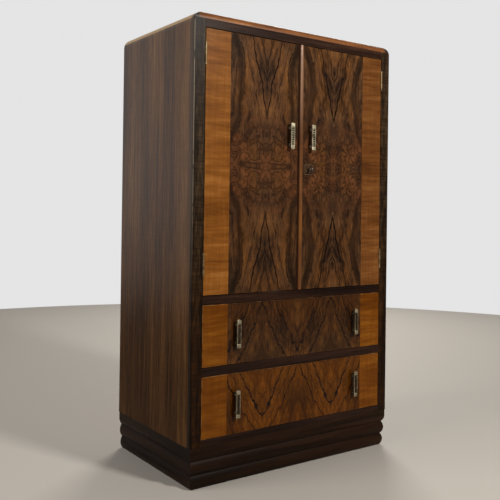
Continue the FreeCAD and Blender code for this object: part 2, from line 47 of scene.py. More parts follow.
def tone(red, green, blue):
    # 0 to 255 sRGB as a linear colour
    parts = [part / 255 for part in (red, green, blue)]
    return [p / 12.92 if p <= 0.04045 else ((p + 0.055) / 1.055) ** 2.4 for p in parts] + [1.0]


def plug(tree, socket, value):
    if isinstance(value, Wire):
        tree.links.new(value.socket, socket)
    else:
        socket.default_value = value


class Wire:
    # a node socket that takes part in plain arithmetic
    def __init__(self, tree, socket=None):
        self.tree = tree
        self.socket = socket

    def node(self, kind, settings, sockets, output=0):
        made = self.tree.nodes.new(kind)
        for key, value in settings.items():
            setattr(made, key, value)
        for key, value in sockets.items():
            plug(self.tree, made.inputs[key], value)
        return Wire(self.tree, made.outputs[output]) if made.outputs else None

    def maths(self, operation, first, second=0.0):
        return self.node("ShaderNodeMath", {"operation": operation}, {0: first, 1: second})

    def __add__(self, other):
        return self.maths("ADD", self, other)

    def __radd__(self, other):
        return self.maths("ADD", other, self)

    def __sub__(self, other):
        return self.maths("SUBTRACT", self, other)

    def __rsub__(self, other):
        return self.maths("SUBTRACT", other, self)

    def __mul__(self, other):
        return self.maths("MULTIPLY", self, other)

    def __rmul__(self, other):
        return self.maths("MULTIPLY", other, self)

    def __truediv__(self, other):
        return self.maths("DIVIDE", self, other)

    def __rtruediv__(self, other):
        return self.maths("DIVIDE", other, self)

    def __abs__(self):
        return self.maths("ABSOLUTE", self)

    def atLeast(self, other):
        return self.maths("MAXIMUM", self, other)

    def folded(self, width):
        return self.maths("PINGPONG", self, width)


def startMaterial(name):
    made = bpy.data.materials.new(name)
    made.use_nodes = True
    made.node_tree.nodes.clear()
    return made, Wire(made.node_tree)


def place(board):
    spot = board.node("ShaderNodeTexCoord", {}, {}, "Object")
    cut = board.node("ShaderNodeSeparateXYZ", {}, {0: spot})
    return [Wire(board.tree, cut.socket.node.outputs[i]) for i in range(3)]


def join(board, x, y, z):
    return board.node("ShaderNodeCombineXYZ", {}, {0: x, 1: y, 2: z})


def noise(board, x, y, z, detail=2.0, rough=0.5, twist=0.0):
    sockets = {"Vector": join(board, x, y, z), "Scale": 1.0, "Detail": detail}
    sockets.update({"Roughness": rough, "Distortion": twist})
    return board.node("ShaderNodeTexNoise", {}, sockets)


def step(board, value, low, high):
    sockets = {"Value": value, "From Min": low, "From Max": high}
    return board.node("ShaderNodeMapRange", {"interpolation_type": "SMOOTHSTEP"}, sockets)


def blend(board, factor, first, second, mode="MIX"):
    settings = {"data_type": "RGBA", "blend_type": mode}
    return board.node("ShaderNodeMix", settings, {0: factor, 6: first, 7: second}, 2)


def ramp(board, value, stops):
    wire = board.node("ShaderNodeValToRGB", {}, {"Fac": value})
    scale = wire.socket.node.color_ramp
    while len(scale.elements) < len(stops):
        scale.elements.new(1.0)
    for element, (spot, colour) in zip(scale.elements, stops):
        element.position = spot
        element.color = tone(*colour)
    return wire


patchScale = 34
bumpDepth = 0.0006


def wornAndSheen(board, x, y, z, low=0.42, high=0.62, more=0.0):
    # pale rubbed patches on the eased edges, wider where more is above zero; on the stiles, the escutcheon
    # and the key they are also a painted highlight
    edge = board.node("ShaderNodeAttribute", {"attribute_name": "wornAndSheen"}, {}, "Fac")
    patches = noise(board, x * patchScale, y * patchScale, z * patchScale, 3)
    return edge * step(board, patches + more, low, high)


def shade(board, colour, rough, height, look):
    bump = {"Strength": look["bump"], "Distance": bumpDepth, "Height": height}
    sockets = {
        "Base Color": colour,
        "Roughness": rough,
        "Metallic": look.get("metal", 0.0),
        "Specular IOR Level": look.get("shine", 0.15),
        "Coat Weight": look.get("coat", 0.0),
        "Coat Roughness": look.get("coatRough", 0.2),
        "Normal": board.node("ShaderNodeBump", {}, bump),
    }
    shader = board.node("ShaderNodeBsdfPrincipled", {}, sockets)
    board.node("ShaderNodeOutputMaterial", {}, {"Surface": shader})


grain = {  # scales are across and along the grain, per metre
    "sway": (10, 2.6), "fibre": (620, 12), "ripple": (9, 150), "pore": (1300, 38), "driftAlong": 1.3,
    "streakRough": 0.6, "streakShare": 0.65, "driftShare": 0.35, "poreEdge": (0.6, 0.74),
    "fibreRough": 0.2, "poreRough": 0.08, "wornRough": 0.08, "fibreHeight": 0.6,
    "rubAndSheenTopMore": 0.3, "leastCoat": 0.03,
}


def straightWood(name, axes, look):
    # grain along the first axis, across the second
    made, board = startMaterial(name)
    x, y, z = place(board)
    spot = {"x": x, "y": y, "z": z}
    along, across, through = [spot[axis] for axis in axes]
    broad, slow = grain["sway"]
    sway = noise(board, across * broad, along * slow, through * broad, 2) - 0.5
    run = across + sway * look["sway"]
    deep = through + sway * look["sway"]

    def strands(wide, long, detail=2.0, rough=0.5):
        return noise(board, run * wide, along * long, deep * wide, detail, rough)

    fibre = strands(*grain["fibre"])
    streak = strands(look["streaks"], look["drawn"], 3, grain["streakRough"])
    drift = strands(look["broad"], grain["driftAlong"])
    ripple = strands(*grain["ripple"]) - 0.5
    fine = look.get("fine", 0.2)
    figure = streak * (grain["streakShare"] - fine) + fibre * fine
    figure = figure + drift * grain["driftShare"] + ripple * look["ripple"]
    colour = ramp(board, figure, look["tones"])
    pores = step(board, strands(*grain["pore"], 1), *grain["poreEdge"])
    colour = blend(board, pores * look["pores"], colour, tone(*look["pore"]))
    # bands of tone along one axis: some are real stains, others painted shade or painted highlight
    for stainAndLight in look.get("stainsAndPaintedLight", []):
        reach = step(board, spot[stainAndLight["axis"]], *stainAndLight["span"]) * stainAndLight["amount"]
        if "rise" in stainAndLight:
            reach = reach * step(board, z, *stainAndLight["rise"])
        colour = blend(board, reach, colour, tone(*stainAndLight["tone"]), stainAndLight.get("mode", "MIX"))
    if "cap" in look:
        cap = look["cap"]
        ends = step(board, x, *cap["right"]).atLeast(step(board, x, *cap["left"]))
        ends = ends * step(board, y, *cap["front"])
        colour = blend(board, ends, colour, tone(*cap["tone"]))
    # on the stiles the rubbed edges grow towards the top, where they are partly a painted highlight
    more = step(board, z, *look["rubAndSheenTop"]) * grain["rubAndSheenTopMore"] if "rubAndSheenTop" in look else 0.0
    rubAndSheen = wornAndSheen(board, x, y, z, *look["patch"], more)
    if "rubAndSheenRise" in look:
        rubAndSheen = rubAndSheen * step(board, z, *look["rubAndSheenRise"])
    colour = blend(board, rubAndSheen * look["wearAndSheen"], colour, tone(*look["rubbedAndSheen"]))
    rough = (fibre - 0.5) * grain["fibreRough"] + pores * grain["poreRough"]
    rough = rough + rubAndSheen * grain["wornRough"] + look["rough"]
    if "polish" in look:
        low, high, coat = look["polish"]
        look = {**look, "coat": step(board, z, low, high) * coat + grain["leastCoat"]}
    shade(board, colour, rough, fibre * grain["fibreHeight"] - pores, look)
    return made


sideLook = {
    "tones": [(0.41, (54, 32, 12)), (0.47, (80, 50, 23)), (0.53, (100, 66, 33)), (0.61, (128, 90, 50))],
    "fine": 0.34, "sway": 0.012, "streaks": 90, "drawn": 1.4, "broad": 9, "ripple": 0.04,
    "pores": 0.35, "pore": (40, 24, 13), "wearAndSheen": 0.7, "rubbedAndSheen": (150, 118, 84), "patch": (0.42, 0.62),
    "stainsAndPaintedLight": [
        # darker towards the bottom
        {"axis": "z", "span": (0.7, 0.2), "amount": 1.0, "tone": (208, 202, 192), "mode": "MULTIPLY"},
        {"axis": "y", "span": (-0.176, -0.18), "rise": (0.45, 0.95), "amount": 0.6, "tone": (50, 42, 36)},
    ],
    "rough": 0.3, "bump": 0.12, "shine": 0.03, "polish": (0.25, 0.9, 0.75),
}
# painted reflection: a pale golden strip on the rounded ends of the top
endSheen = {"axis": "x", "amount": 0.6, "tone": (214, 182, 130)}
topLook = {
    "tones": [(0.36, (66, 34, 14)), (0.46, (106, 60, 23)), (0.55, (132, 79, 32)), (0.66, (164, 108, 54))],
    "sway": 0.02, "streaks": 90, "drawn": 7.0, "broad": 16, "ripple": 0.1,
    "cap": {
        "tone": (44, 28, 18),
        "right": (0.330, 0.342), "left": (-0.334, -0.346), "front": (-0.172, -0.19),
    },
    "pores": 0.5, "pore": (62, 32, 12), "wearAndSheen": 0.3, "rubbedAndSheen": (170, 128, 84), "patch": (0.42, 0.62),
    "stainsAndPaintedLight": [{**endSheen, "span": (-0.336, -0.348)}, {**endSheen, "span": (0.336, 0.348)}],
    "rough": 0.42, "bump": 0.12, "coat": 0.3, "coatRough": 0.4,
}
# painted highlight: a pale grey line on the stiles' outer arris, stronger higher up
lipSheen = {"axis": "x", "rise": (0.45, 0.95), "amount": 0.6, "tone": (104, 94, 84)}
stileLook = {
    "tones": [(0.36, (16, 10, 5)), (0.47, (36, 25, 15)), (0.56, (60, 45, 29)), (0.66, (94, 74, 51))],
    "stainsAndPaintedLight": [
        # darker and warmer towards the bottom
        {"axis": "z", "span": (0.85, 0.3), "amount": 1.0, "tone": (190, 147, 75), "mode": "MULTIPLY"},
        {**lipSheen, "span": (-0.3545, -0.3558)},
        {**lipSheen, "span": (0.3545, 0.3558)},
    ],
    "fine": 0.26, "sway": 0.03, "streaks": 110, "drawn": 20.0, "broad": 40, "ripple": 0.22,
    # the stiles' pale rubbed edges are wear and also a painted highlight near the top
    "pores": 0.3, "pore": (12, 8, 6), "wearAndSheen": 0.9, "rubbedAndSheen": (200, 182, 158), "patch": (0.34, 0.5),
    "rubAndSheenRise": (0.5, 1.15), "rubAndSheenTop": (1.12, 1.2), "rough": 0.3, "bump": 0.1, "shine": 0.08,
}
railLook = {
    "tones": [(0.36, (20, 10, 6)), (0.47, (34, 19, 12)), (0.56, (46, 28, 19)), (0.66, (66, 44, 31))],
    "sway": 0.01, "streaks": 80, "drawn": 3.0, "broad": 20, "ripple": 0.08,
    "pores": 0.3, "pore": (16, 10, 8), "wearAndSheen": 0.6, "rubbedAndSheen": (120, 80, 46), "patch": (0.46, 0.64),
    "rough": 0.3, "bump": 0.1, "shine": 0.08,
}
plinthLook = {
    "tones": [(0.36, (18, 10, 5)), (0.47, (30, 17, 9)), (0.56, (42, 25, 14)), (0.66, (60, 40, 25))],
    "sway": 0.008, "streaks": 60, "drawn": 2.0, "broad": 12, "ripple": 0.05,
    "pores": 0.3, "pore": (10, 6, 4), "wearAndSheen": 0.5, "rubbedAndSheen": (86, 66, 50), "patch": (0.46, 0.64),
    "rough": 0.4, "bump": 0.12, "shine": 0.06,
}
bandLook = {
    "tones": [(0.35, (98, 55, 17)), (0.45, (118, 70, 24)), (0.54, (133, 81, 30)), (0.66, (156, 101, 46))],
    "fine": 0.12, "sway": 0.02, "streaks": 70, "drawn": 8.0, "broad": 22, "ripple": 0.16,
    "pores": 0.2, "pore": (70, 38, 12), "wearAndSheen": 0.7, "rubbedAndSheen": (190, 140, 84), "patch": (0.36, 0.56),
    "rough": 0.28, "bump": 0.1, "shine": 0.07,
}
# painted shade: the right door's crossband is a darker copy of the left one's tones
shadedRightTones = [(0.35, (76, 43, 17)), (0.45, (95, 56, 24)), (0.54, (109, 66, 30)), (0.66, (130, 85, 43))]
lowTones = [(0.35, (82, 41, 4)), (0.45, (99, 53, 7)), (0.54, (111, 62, 10)), (0.66, (131, 79, 19))]
beadLook = {
    "tones": [(0.34, (72, 41, 17)), (0.46, (99, 60, 27)), (0.56, (119, 75, 36)), (0.68, (150, 104, 57))],
    "sway": 0.006, "streaks": 60, "drawn": 5.0, "broad": 6, "ripple": 0.12,
    "stainsAndPaintedLight": [
        # painted highlight: the bead is paler towards the top
        {"axis": "z", "span": (0.92, 1.1), "amount": 0.5, "tone": (162, 122, 92)},
        {"axis": "z", "span": (0.75, 0.71), "amount": 0.6, "tone": (128, 80, 30)},
        {"axis": "z", "span": (0.66, 0.62), "amount": 0.6, "tone": (78, 42, 18)},
        # painted shade: the bead's left flank is darkened
        {"axis": "x", "span": (-0.0042, -0.0068), "amount": 0.9, "tone": (34, 8, 1)},
    ],
    "pores": 0.3, "pore": (58, 28, 12), "wearAndSheen": 0.6, "rubbedAndSheen": (190, 136, 96), "patch": (0.42, 0.62),
    "rough": 0.28, "bump": 0.1, "coat": 0.36, "coatRough": 0.14,
}
plainLook = {
    "tones": [(0.34, (86, 52, 30)), (0.46, (112, 72, 44)), (0.56, (132, 90, 57)), (0.68, (152, 110, 74))],
    "sway": 0.012, "streaks": 40, "drawn": 1.6, "broad": 8, "ripple": 0.05,
    "pores": 0.4, "pore": (66, 38, 20), "wearAndSheen": 0.5, "rubbedAndSheen": (170, 130, 92), "patch": (0.42, 0.62),
    "rough": 0.5, "bump": 0.2, "shine": 0.3,
}
boxTones = [(0.34, (132, 96, 60)), (0.46, (158, 120, 80)), (0.56, (176, 138, 96)), (0.68, (194, 158, 116))]
plyLook = {
    "tones": [
        (0.34, (128, 92, 58)), (0.46, (152, 114, 76)), (0.56, (168, 130, 90)), (0.68, (186, 150, 110)),
    ],
    "sway": 0.03, "streaks": 22, "drawn": 1.2, "broad": 6, "ripple": 0.03,
    "pores": 0.25, "pore": (104, 70, 42), "wearAndSheen": 0.3, "rubbedAndSheen": (190, 158, 120), "patch": (0.42, 0.62),
    "rough": 0.6, "bump": 0.2, "shine": 0.25,
}
woods = {
    "side": straightWood("side_walnut", "zyx", sideLook),
    "top": straightWood("top_walnut", "xyz", topLook),
    "stile": straightWood("dark_stile", "zxy", stileLook),
    "rail": straightWood("dark_rail", "xzy", railLook),
    "plinthAcross": straightWood("dark_plinth_across", "xzy", plinthLook),
    "plinthDeep": straightWood("dark_plinth_deep", "yzx", plinthLook),
    "bandLeft": straightWood("crossband_left", "xzy", bandLook),
    "bandRight": straightWood("crossband_right", "xzy", {**bandLook, "tones": shadedRightTones}),
    "bandLow": straightWood("crossband_low", "xzy", {**bandLook, "tones": lowTones}),
    "bead": straightWood("bead", "zxy", beadLook),
    "plainUp": straightWood("plain_up", "zxy", plainLook),
    "plainAcross": straightWood("plain_across", "xyz", plainLook),
    "plainDeep": straightWood("plain_deep", "yzx", plainLook),
    "boxAcross": straightWood("drawer_box_across", "xyz", {**plainLook, "tones": boxTones}),
    "boxDeep": straightWood("drawer_box_deep", "yzx", {**plainLook, "tones": boxTones}),
    "ply": straightWood("plywood", "xzy", plyLook),
}
print("straight woods:", len(woods))

leafGrain = {  # scale across, scale up, shift of the seed, detail, roughness, twist
    "bend": (8, 6, 2, 2, 0.5, 0.0),
    "curl": (34, 22, 4, 3, 0.5, 0.0),
    "jag": (150, 60, 5, 3, 0.5, 0.0),
    "swirl": (24, 24, 6, 3, 0.5, 1.2),
    "hair": (700, 30, 0, 2, 0.5, 0.0),
    "fibre": (200, 38, 1, 4, 0.68, 0.0),
    "smoke": (30, 11, 1, 5, 0.68, 0.0),
    "haze": (12, 8, 5, 3, 0.5, 0.0),
    "patch": (13, 7, 12, 3, 0.6, 0.0),
    "curls": (21, 21, 8, 4, 0.6, 1.8),
    "warm": (17, 17, 9, 2, 0.5, 1.0),
    "thread": (44, 3.4, 7, 1, 0.5, 0.0),
    "shown": (14, 9, 9, 1, 0.5, 0.0),
}
leafShape = {
    "stray": 6, "strayOut": 0.008, "strayUp": 0.03, "curl": 0.014, "swirl": 0.07,
    "smoke": 0.38, "fibre": 0.32, "haze": 0.2, "hair": 0.1,
    "casts": [((0.5, 0.64), (1.28, 1.16, 0.86, 1)), ((0.52, 0.36), (0.58, 0.65, 0.77, 1))],
    "shadeBelowDrop": 0.3, "shadeBelowTint": (0.7, 0.68, 0.64, 1), "wearAndSheen": 0.6,
    "rough": 0.2, "fibreRough": 0.12, "fibreHeight": 0.5, "darkHeight": 0.4, "bump": 0.06, "shine": 0.1,
}
burrShape = {
    "rings": (0.04, 0.15), "warm": (0.42, 0.72), "calm": 0.2, "eye": 0.46,
    "fibre": 0.86, "smoke": 0.64,
}
markShape = {
    "thread": (0.022, 0.002), "threadShown": (0.44, 0.6), "threadJag": 0.05,
    "knotStir": 0.03, "knotRing": 0.5, "knotEdge": (0.28, 0.08), "knotReach": (2.6, 1.6),
    "veinBend": 0.018, "veinCurl": 0.016, "veinJag": 0.006, "veinSwell": 1.6, "veinLeast": 0.2,
    "veinEdge": (1.0, 0.3), "veinShown": (0.26, 0.42),
    "streakBend": 0.04, "streakCurl": 0.03, "streakJag": 0.01, "streakCore": 0.1,
    "streakShown": (0.38, 0.56),
}


def flameVeneer(name, figure):
    # mirrored leaves, with dark veins climbing away from each joint
    made, board = startMaterial(name)
    x, y, z = place(board)
    seed = figure["seed"]
    stray = noise(board, x * leafShape["stray"], seed, z * leafShape["stray"], 2) - 0.5
    side = (x - figure["axis"] + stray * leafShape["strayOut"]).folded(figure["leaf"])
    up = z - figure["level"] + stray * leafShape["strayUp"]
    if figure["crossed"]:
        up = abs(up)

    def field(kind, across):
        wide, tall, shift, detail, rough, twist = leafGrain[kind]
        return noise(board, across * wide, seed + shift, up * tall, detail, rough, twist)

    bend = field("bend", side) - 0.5
    curl = field("curl", side) - 0.5
    jag = field("jag", side) - 0.5
    burr = step(board, up, figure["burrTop"], figure["burrFoot"]) * figure["burr"]
    swirl = field("swirl", side) - 0.5
    flow = side - up * figure["drift"] + bend * figure["bend"]
    flow = flow + curl * leafShape["curl"] + burr * swirl * leafShape["swirl"]
    hair = field("hair", flow)
    fibre = field("fibre", flow)
    smoke = field("smoke", flow)
    haze = field("haze", side)
    body = smoke * leafShape["smoke"] + fibre * leafShape["fibre"]
    body = body + haze * leafShape["haze"] + hair * leafShape["hair"]
    colour = ramp(board, body, figure["tones"])
    patch = field("patch", side)
    for span, tint in leafShape["casts"]:
        colour = blend(board, step(board, patch, *span) * figure["cast"], colour, tint, "MULTIPLY")
    curls = abs(field("curls", side) - 0.5)
    fineRing, broadRing = [step(board, curls, width, 0.0) * 0.5 for width in burrShape["rings"]]
    warm = step(board, field("warm", side), *burrShape["warm"])
    colour = blend(board, burr * burrShape["calm"], colour, tone(*figure["calm"]))
    colour = blend(board, warm * burr * burrShape["eye"], colour, tone(*figure["eye"]))
    dark = (fineRing + broadRing) * burr * (fibre * burrShape["fibre"] + smoke * burrShape["smoke"])
    thread = abs(field("thread", flow) - 0.5 + jag * markShape["threadJag"])
    shown = step(board, field("shown", side), *markShape["threadShown"])
    dark = dark.atLeast(step(board, thread, *markShape["thread"]) * shown * figure["threads"])
    for knot in figure["knots"]:
        wide = (side - knot["out"] + curl * markShape["knotStir"]) / knot["wide"]
        tall = (up - knot["rise"] + curl * markShape["knotStir"]) / knot["tall"]
        spread = board.maths("SQRT", wide * wide + tall * tall)
        line = step(board, spread.folded(markShape["knotRing"]), *markShape["knotEdge"])
        line = line * step(board, spread, *markShape["knotReach"])
        dark = dark.atLeast(line * knot["dark"])
    stir = figure["stir"]
    slant = side - up * figure["lean"] + bend * (stir * markShape["veinBend"])
    slant = slant + curl * (stir * markShape["veinCurl"]) + jag * (stir * markShape["veinJag"])
    for vein in figure["veins"]:
        gap = abs(slant + figure["lean"] * vein["lift"])
        width = (smoke * markShape["veinSwell"] + markShape["veinLeast"]) * vein["width"]
        line = step(board, gap / width, *markShape["veinEdge"])
        line = line * step(board, fibre, *markShape["veinShown"])
        dark = dark.atLeast(line * vein["dark"])
    for streak in figure["streaks"]:
        rise = up - streak["middle"]
        gap = side - streak["out"] - rise * rise * streak["bow"] + bend * markShape["streakBend"]
        gap = abs(gap + curl * markShape["streakCurl"] + jag * markShape["streakJag"])
        line = step(board, gap, streak["width"], streak["width"] * markShape["streakCore"])
        line = line * step(board, smoke * 0.5 + fibre * 0.5, *markShape["streakShown"])
        dark = dark.atLeast(line * streak["dark"])
    colour = blend(board, dark, colour, tone(*figure["vein"]))
    # painted shade: each leaf darkens below its level, as the light falls off towards the bottom
    shadeBelow = step(board, z, figure["level"], figure["level"] - leafShape["shadeBelowDrop"]) * figure["shadeBelow"]
    colour = blend(board, shadeBelow, colour, leafShape["shadeBelowTint"], "MULTIPLY")
    rubAndSheen = wornAndSheen(board, x, y, z)
    colour = blend(board, rubAndSheen * leafShape["wearAndSheen"], colour, tone(*figure["rubbedAndSheen"]))
    rough = (fibre - 0.5) * leafShape["fibreRough"] + leafShape["rough"]
    height = fibre * leafShape["fibreHeight"] - dark * leafShape["darkHeight"]
    shade(board, colour, rough, height, leafShape)
    return made


doorFigure = {
    "tones": [(0.38, (26, 17, 12)), (0.45, (59, 39, 25)), (0.52, (90, 60, 37)), (0.64, (124, 85, 49))],
    "vein": (20, 12, 7), "eye": (130, 79, 45), "calm": (80, 49, 33), "rubbedAndSheen": (150, 112, 74),
    "leaf": 0.4, "level": 0.8565, "crossed": True, "lean": 0.26, "drift": 0.1, "bend": 0.06, "stir": 1.1,
    "burr": 1.0, "burrTop": 0.17, "burrFoot": 0.06, "threads": 0.75, "cast": 1.0, "shadeBelow": 0.75,
    "veins": [
        {"lift": 0.142, "width": 0.0034, "dark": 0.97},
        {"lift": 0.252, "width": 0.0026, "dark": 0.75},
        {"lift": 0.04, "width": 0.0028, "dark": 0.5},
    ],
    "streaks": [
        {"out": 0.084, "bow": 1.5, "middle": 0.215, "width": 0.02, "dark": 0.85},
        {"out": 0.075, "bow": 1.9, "middle": 0.235, "width": 0.0042, "dark": 0.9},
        {"out": 0.1, "bow": 1.2, "middle": 0.26, "width": 0.0034, "dark": 0.8},
    ],
    "knots": [
        {"out": 0.0, "rise": 0.0, "wide": 0.008, "tall": 0.011, "dark": 0.42},
        {"out": 0.05, "rise": 0.1, "wide": 0.012, "tall": 0.008, "dark": 0.3},
    ],
}
upperFigure = {
    "tones": [(0.38, (24, 13, 6)), (0.46, (46, 26, 12)), (0.53, (67, 40, 18)), (0.62, (100, 62, 26))],
    "vein": (18, 10, 6), "eye": (130, 80, 36), "calm": (60, 38, 20), "rubbedAndSheen": (150, 112, 74),
    "leaf": 0.126, "level": 0.3985, "crossed": False, "lean": 0.55,
    "drift": 0.14, "bend": 0.08, "stir": 2.2,
    "burr": 0.0, "burrTop": 0.1, "burrFoot": 0.2, "threads": 0.5, "cast": 0.7, "shadeBelow": 0.0,
    "veins": [
        {"lift": -0.0745, "width": 0.0032, "dark": 1.0},
        {"lift": -0.1635, "width": 0.0032, "dark": 0.95},
        {"lift": -0.112, "width": 0.002, "dark": 0.7},
        {"lift": -0.028, "width": 0.002, "dark": 0.65},
    ],
    "streaks": [],
    "knots": [],
}
lowerFigure = {
    "tones": [(0.38, (41, 19, 2)), (0.46, (66, 34, 4)), (0.53, (87, 47, 7)), (0.62, (118, 70, 17))],
    "vein": (18, 9, 4), "eye": (140, 84, 36), "calm": (80, 46, 14), "rubbedAndSheen": (150, 112, 74),
    "leaf": 0.126, "level": 0.2105, "crossed": False, "lean": 0.6,
    "drift": 0.14, "bend": 0.08, "stir": 2.2,
    "burr": 0.0, "burrTop": 0.1, "burrFoot": 0.2, "threads": 0.6, "cast": 0.5, "shadeBelow": 0.0,
    "veins": [
        {"lift": -0.0485, "width": 0.0033, "dark": 1.0},
        {"lift": -0.1295, "width": 0.0032, "dark": 0.95},
        {"lift": -0.088, "width": 0.002, "dark": 0.65},
        {"lift": -0.004, "width": 0.002, "dark": 0.6},
    ],
    "streaks": [],
    "knots": [],
}
veneers = {
    "left_door": flameVeneer("veneer_left_door", {**doorFigure, "axis": -0.122, "seed": 1.3}),
    "right_door": flameVeneer("veneer_right_door", {**doorFigure, "axis": 0.1265, "seed": 1.7}),
    "upper_drawer": flameVeneer("veneer_upper_drawer", {**upperFigure, "axis": -0.003, "seed": 5.1}),
    "lower_drawer": flameVeneer("veneer_lower_drawer", {**lowerFigure, "axis": 0.128, "seed": 8.6}),
}
print("figured veneers:", len(veneers))

metalGrain = {
    "cloud": 90, "speck": 900, "cloudShare": 0.7, "speckShare": 0.3,
    "patch": (0.3, 0.5), "wearAndSheen": 0.7, "cloudRough": 0.4,
}


def agedMetal(name, look):
    # cloudy tarnish with fine specks, rubbed bright on the edges, which on the escutcheon and the key is
    # also a painted highlight
    made, board = startMaterial(name)
    x, y, z = place(board)
    broad = metalGrain["cloud"]
    fine = metalGrain["speck"]
    cloud = noise(board, x * broad, y * broad, z * broad, 3)
    speck = noise(board, x * fine, y * fine, z * fine, 2)
    tarnish = cloud * metalGrain["cloudShare"] + speck * metalGrain["speckShare"]
    colour = ramp(board, tarnish, look["tones"])
    rubAndSheen = wornAndSheen(board, x, y, z, *metalGrain["patch"])
    colour = blend(board, rubAndSheen * metalGrain["wearAndSheen"], colour, tone(*look["rubbedAndSheen"]))
    rough = (cloud - 0.5) * metalGrain["cloudRough"] + look["rough"]
    shade(board, colour, rough, speck, look)
    return made


brassLook = {
    "tones": [(0.34, (120, 106, 80)), (0.46, (176, 164, 134)), (0.6, (206, 197, 170))],
    "rubbedAndSheen": (232, 225, 204), "rough": 0.4, "metal": 0.5, "bump": 0.06,
}
drawerBrass = {
    "tones": [(0.34, (74, 65, 48)), (0.46, (116, 106, 82)), (0.6, (150, 140, 114))],
    "rubbedAndSheen": (214, 206, 182), "rough": 0.4, "metal": 0.5, "bump": 0.06,
}
dullLook = {
    "tones": [(0.34, (78, 62, 40)), (0.48, (122, 102, 70)), (0.62, (156, 135, 100))],
    "rubbedAndSheen": (226, 212, 176), "rough": 0.42, "metal": 0.6, "bump": 0.1,
}
# the pale rubbed edges are wear and also a painted highlight on the escutcheon's edge
bronzeLook = {
    "tones": [(0.34, (36, 22, 13)), (0.48, (56, 38, 24)), (0.62, (78, 55, 36))],
    "rubbedAndSheen": (196, 170, 128), "rough": 0.42, "metal": 0.5, "bump": 0.1,
}
steelLook = {
    "tones": [(0.34, (84, 80, 74)), (0.5, (128, 123, 116)), (0.64, (160, 156, 150))],
    "rubbedAndSheen": (214, 210, 204), "rough": 0.36, "metal": 0.8, "bump": 0.06,
}
# the pale rubbed edges are wear and also painted highlights on the key's bow
keyLook = {
    "tones": [(0.34, (34, 30, 27)), (0.5, (60, 55, 50)), (0.64, (92, 86, 80))],
    "rubbedAndSheen": (206, 200, 194), "rough": 0.3, "metal": 0.8, "bump": 0.06,
}
# dark grime for the handle channels, also painted shade on the screw slots
grimeAndShadeLook = {
    "tones": [(0.34, (22, 15, 9)), (0.5, (38, 28, 18)), (0.64, (56, 43, 29))],
    "rubbedAndSheen": (90, 74, 52), "rough": 0.55, "metal": 0.1, "bump": 0.1,
}
metals = {
    "handle": agedMetal("pale_brass", brassLook),
    "drawer": agedMetal("drawer_brass", drawerBrass),
    "dull": agedMetal("dull_brass", dullLook),
    "bronze": agedMetal("dark_bronze", bronzeLook),
    "steel": agedMetal("worn_steel", steelLook),
    "key": agedMetal("dark_key_steel", keyLook),
    "grimeAndShade": agedMetal("grimeAndShade", grimeAndShadeLook),
}
print("metals:", len(metals))

weld = 1e-6
flat = math.radians(0.5)
sharp = math.radians(35)
near = 1e-5
squareOn = 0.9999


def copyOf(node):
    mesh = bmesh.new()
    mesh.from_mesh(nodes[node].data)
    bmesh.ops.remove_doubles(mesh, verts=mesh.verts, dist=weld)
    bmesh.ops.dissolve_limit(mesh, angle_limit=flat, verts=mesh.verts, edges=mesh.edges)
    return mesh


def centre(edge):
    return (edge.verts[0].co + edge.verts[1].co) / 2


def arrises(mesh):
    # edges where two outer faces of the piece meet
    spots = [vert.co for vert in mesh.verts]
    low = [min(spot[i] for spot in spots) for i in range(3)]
    high = [max(spot[i] for spot in spots) for i in range(3)]
    found = []
    for edge in mesh.edges:
        middle = centre(edge)
        run = edge.verts[1].co - edge.verts[0].co
        axis = max(range(3), key=lambda i: abs(run[i]))
        others = [i for i in range(3) if i != axis]
        outer = all(min(middle[i] - low[i], high[i] - middle[i]) < near for i in others)
        if outer and len(edge.link_faces) == 2 and edge.is_convex:
            found.append(edge)
    return found


def frontArrises(mesh, low):
    return [edge for edge in arrises(mesh) if centre(edge).y < low.y + near]


def ease(mesh, edges, width, segments=3, wearAndSheen=1.0):
    layer = mesh.loops.layers.float.get("wornAndSheen") or mesh.loops.layers.float.new("wornAndSheen")
    made = bmesh.ops.bevel(
        mesh, geom=edges, offset=width, offset_type="OFFSET", segments=segments, profile=0.5,
        affect="EDGES", clamp_overlap=False, material=-1,
    )
    for face in made["faces"]:
        face.smooth = True
        for loop in face.loops:
            loop[layer] = wearAndSheen


def soften(mesh):
    # curved faces are shaded smooth, flat ones stay flat
    mesh.normal_update()
    for face in mesh.faces:
        face.smooth = max(abs(part) for part in face.normal) < squareOn
    for edge in mesh.edges:
        edge.smooth = len(edge.link_faces) == 2 and edge.calc_face_angle() < sharp


def piece(name, mesh, body, finishes, hides=()):
    data = bpy.data.meshes.new(name)
    mesh.to_mesh(data)
    mesh.free()
    for finish in finishes:
        data.materials.append(finish)
    made = bpy.data.objects.new(name, data)
    bpy.context.scene.collection.objects.link(made)
    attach(made, body)
    if hides:
        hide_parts(*hides)
    return made


panelEase = 0.0006
frontFacing = -0.6
panels = {
    "left_door": ("left_door", "plainUp"),
    "right_door": ("right_door", "plainUp"),
    "upper_drawer": ("upper_drawer_front", "plainAcross"),
    "lower_drawer": ("lower_drawer_front", "plainAcross"),
}
for body, (node, back) in panels.items():
    mesh = copyOf(node)
    ease(mesh, arrises(mesh), panelEase)
    for face in mesh.faces:
        face.material_index = 0 if face.normal.y < frontFacing or face.smooth else 1
    piece(node + "_panel", mesh, body, [veneers[body], woods[back]], [node])
print("panels:", len(panels))

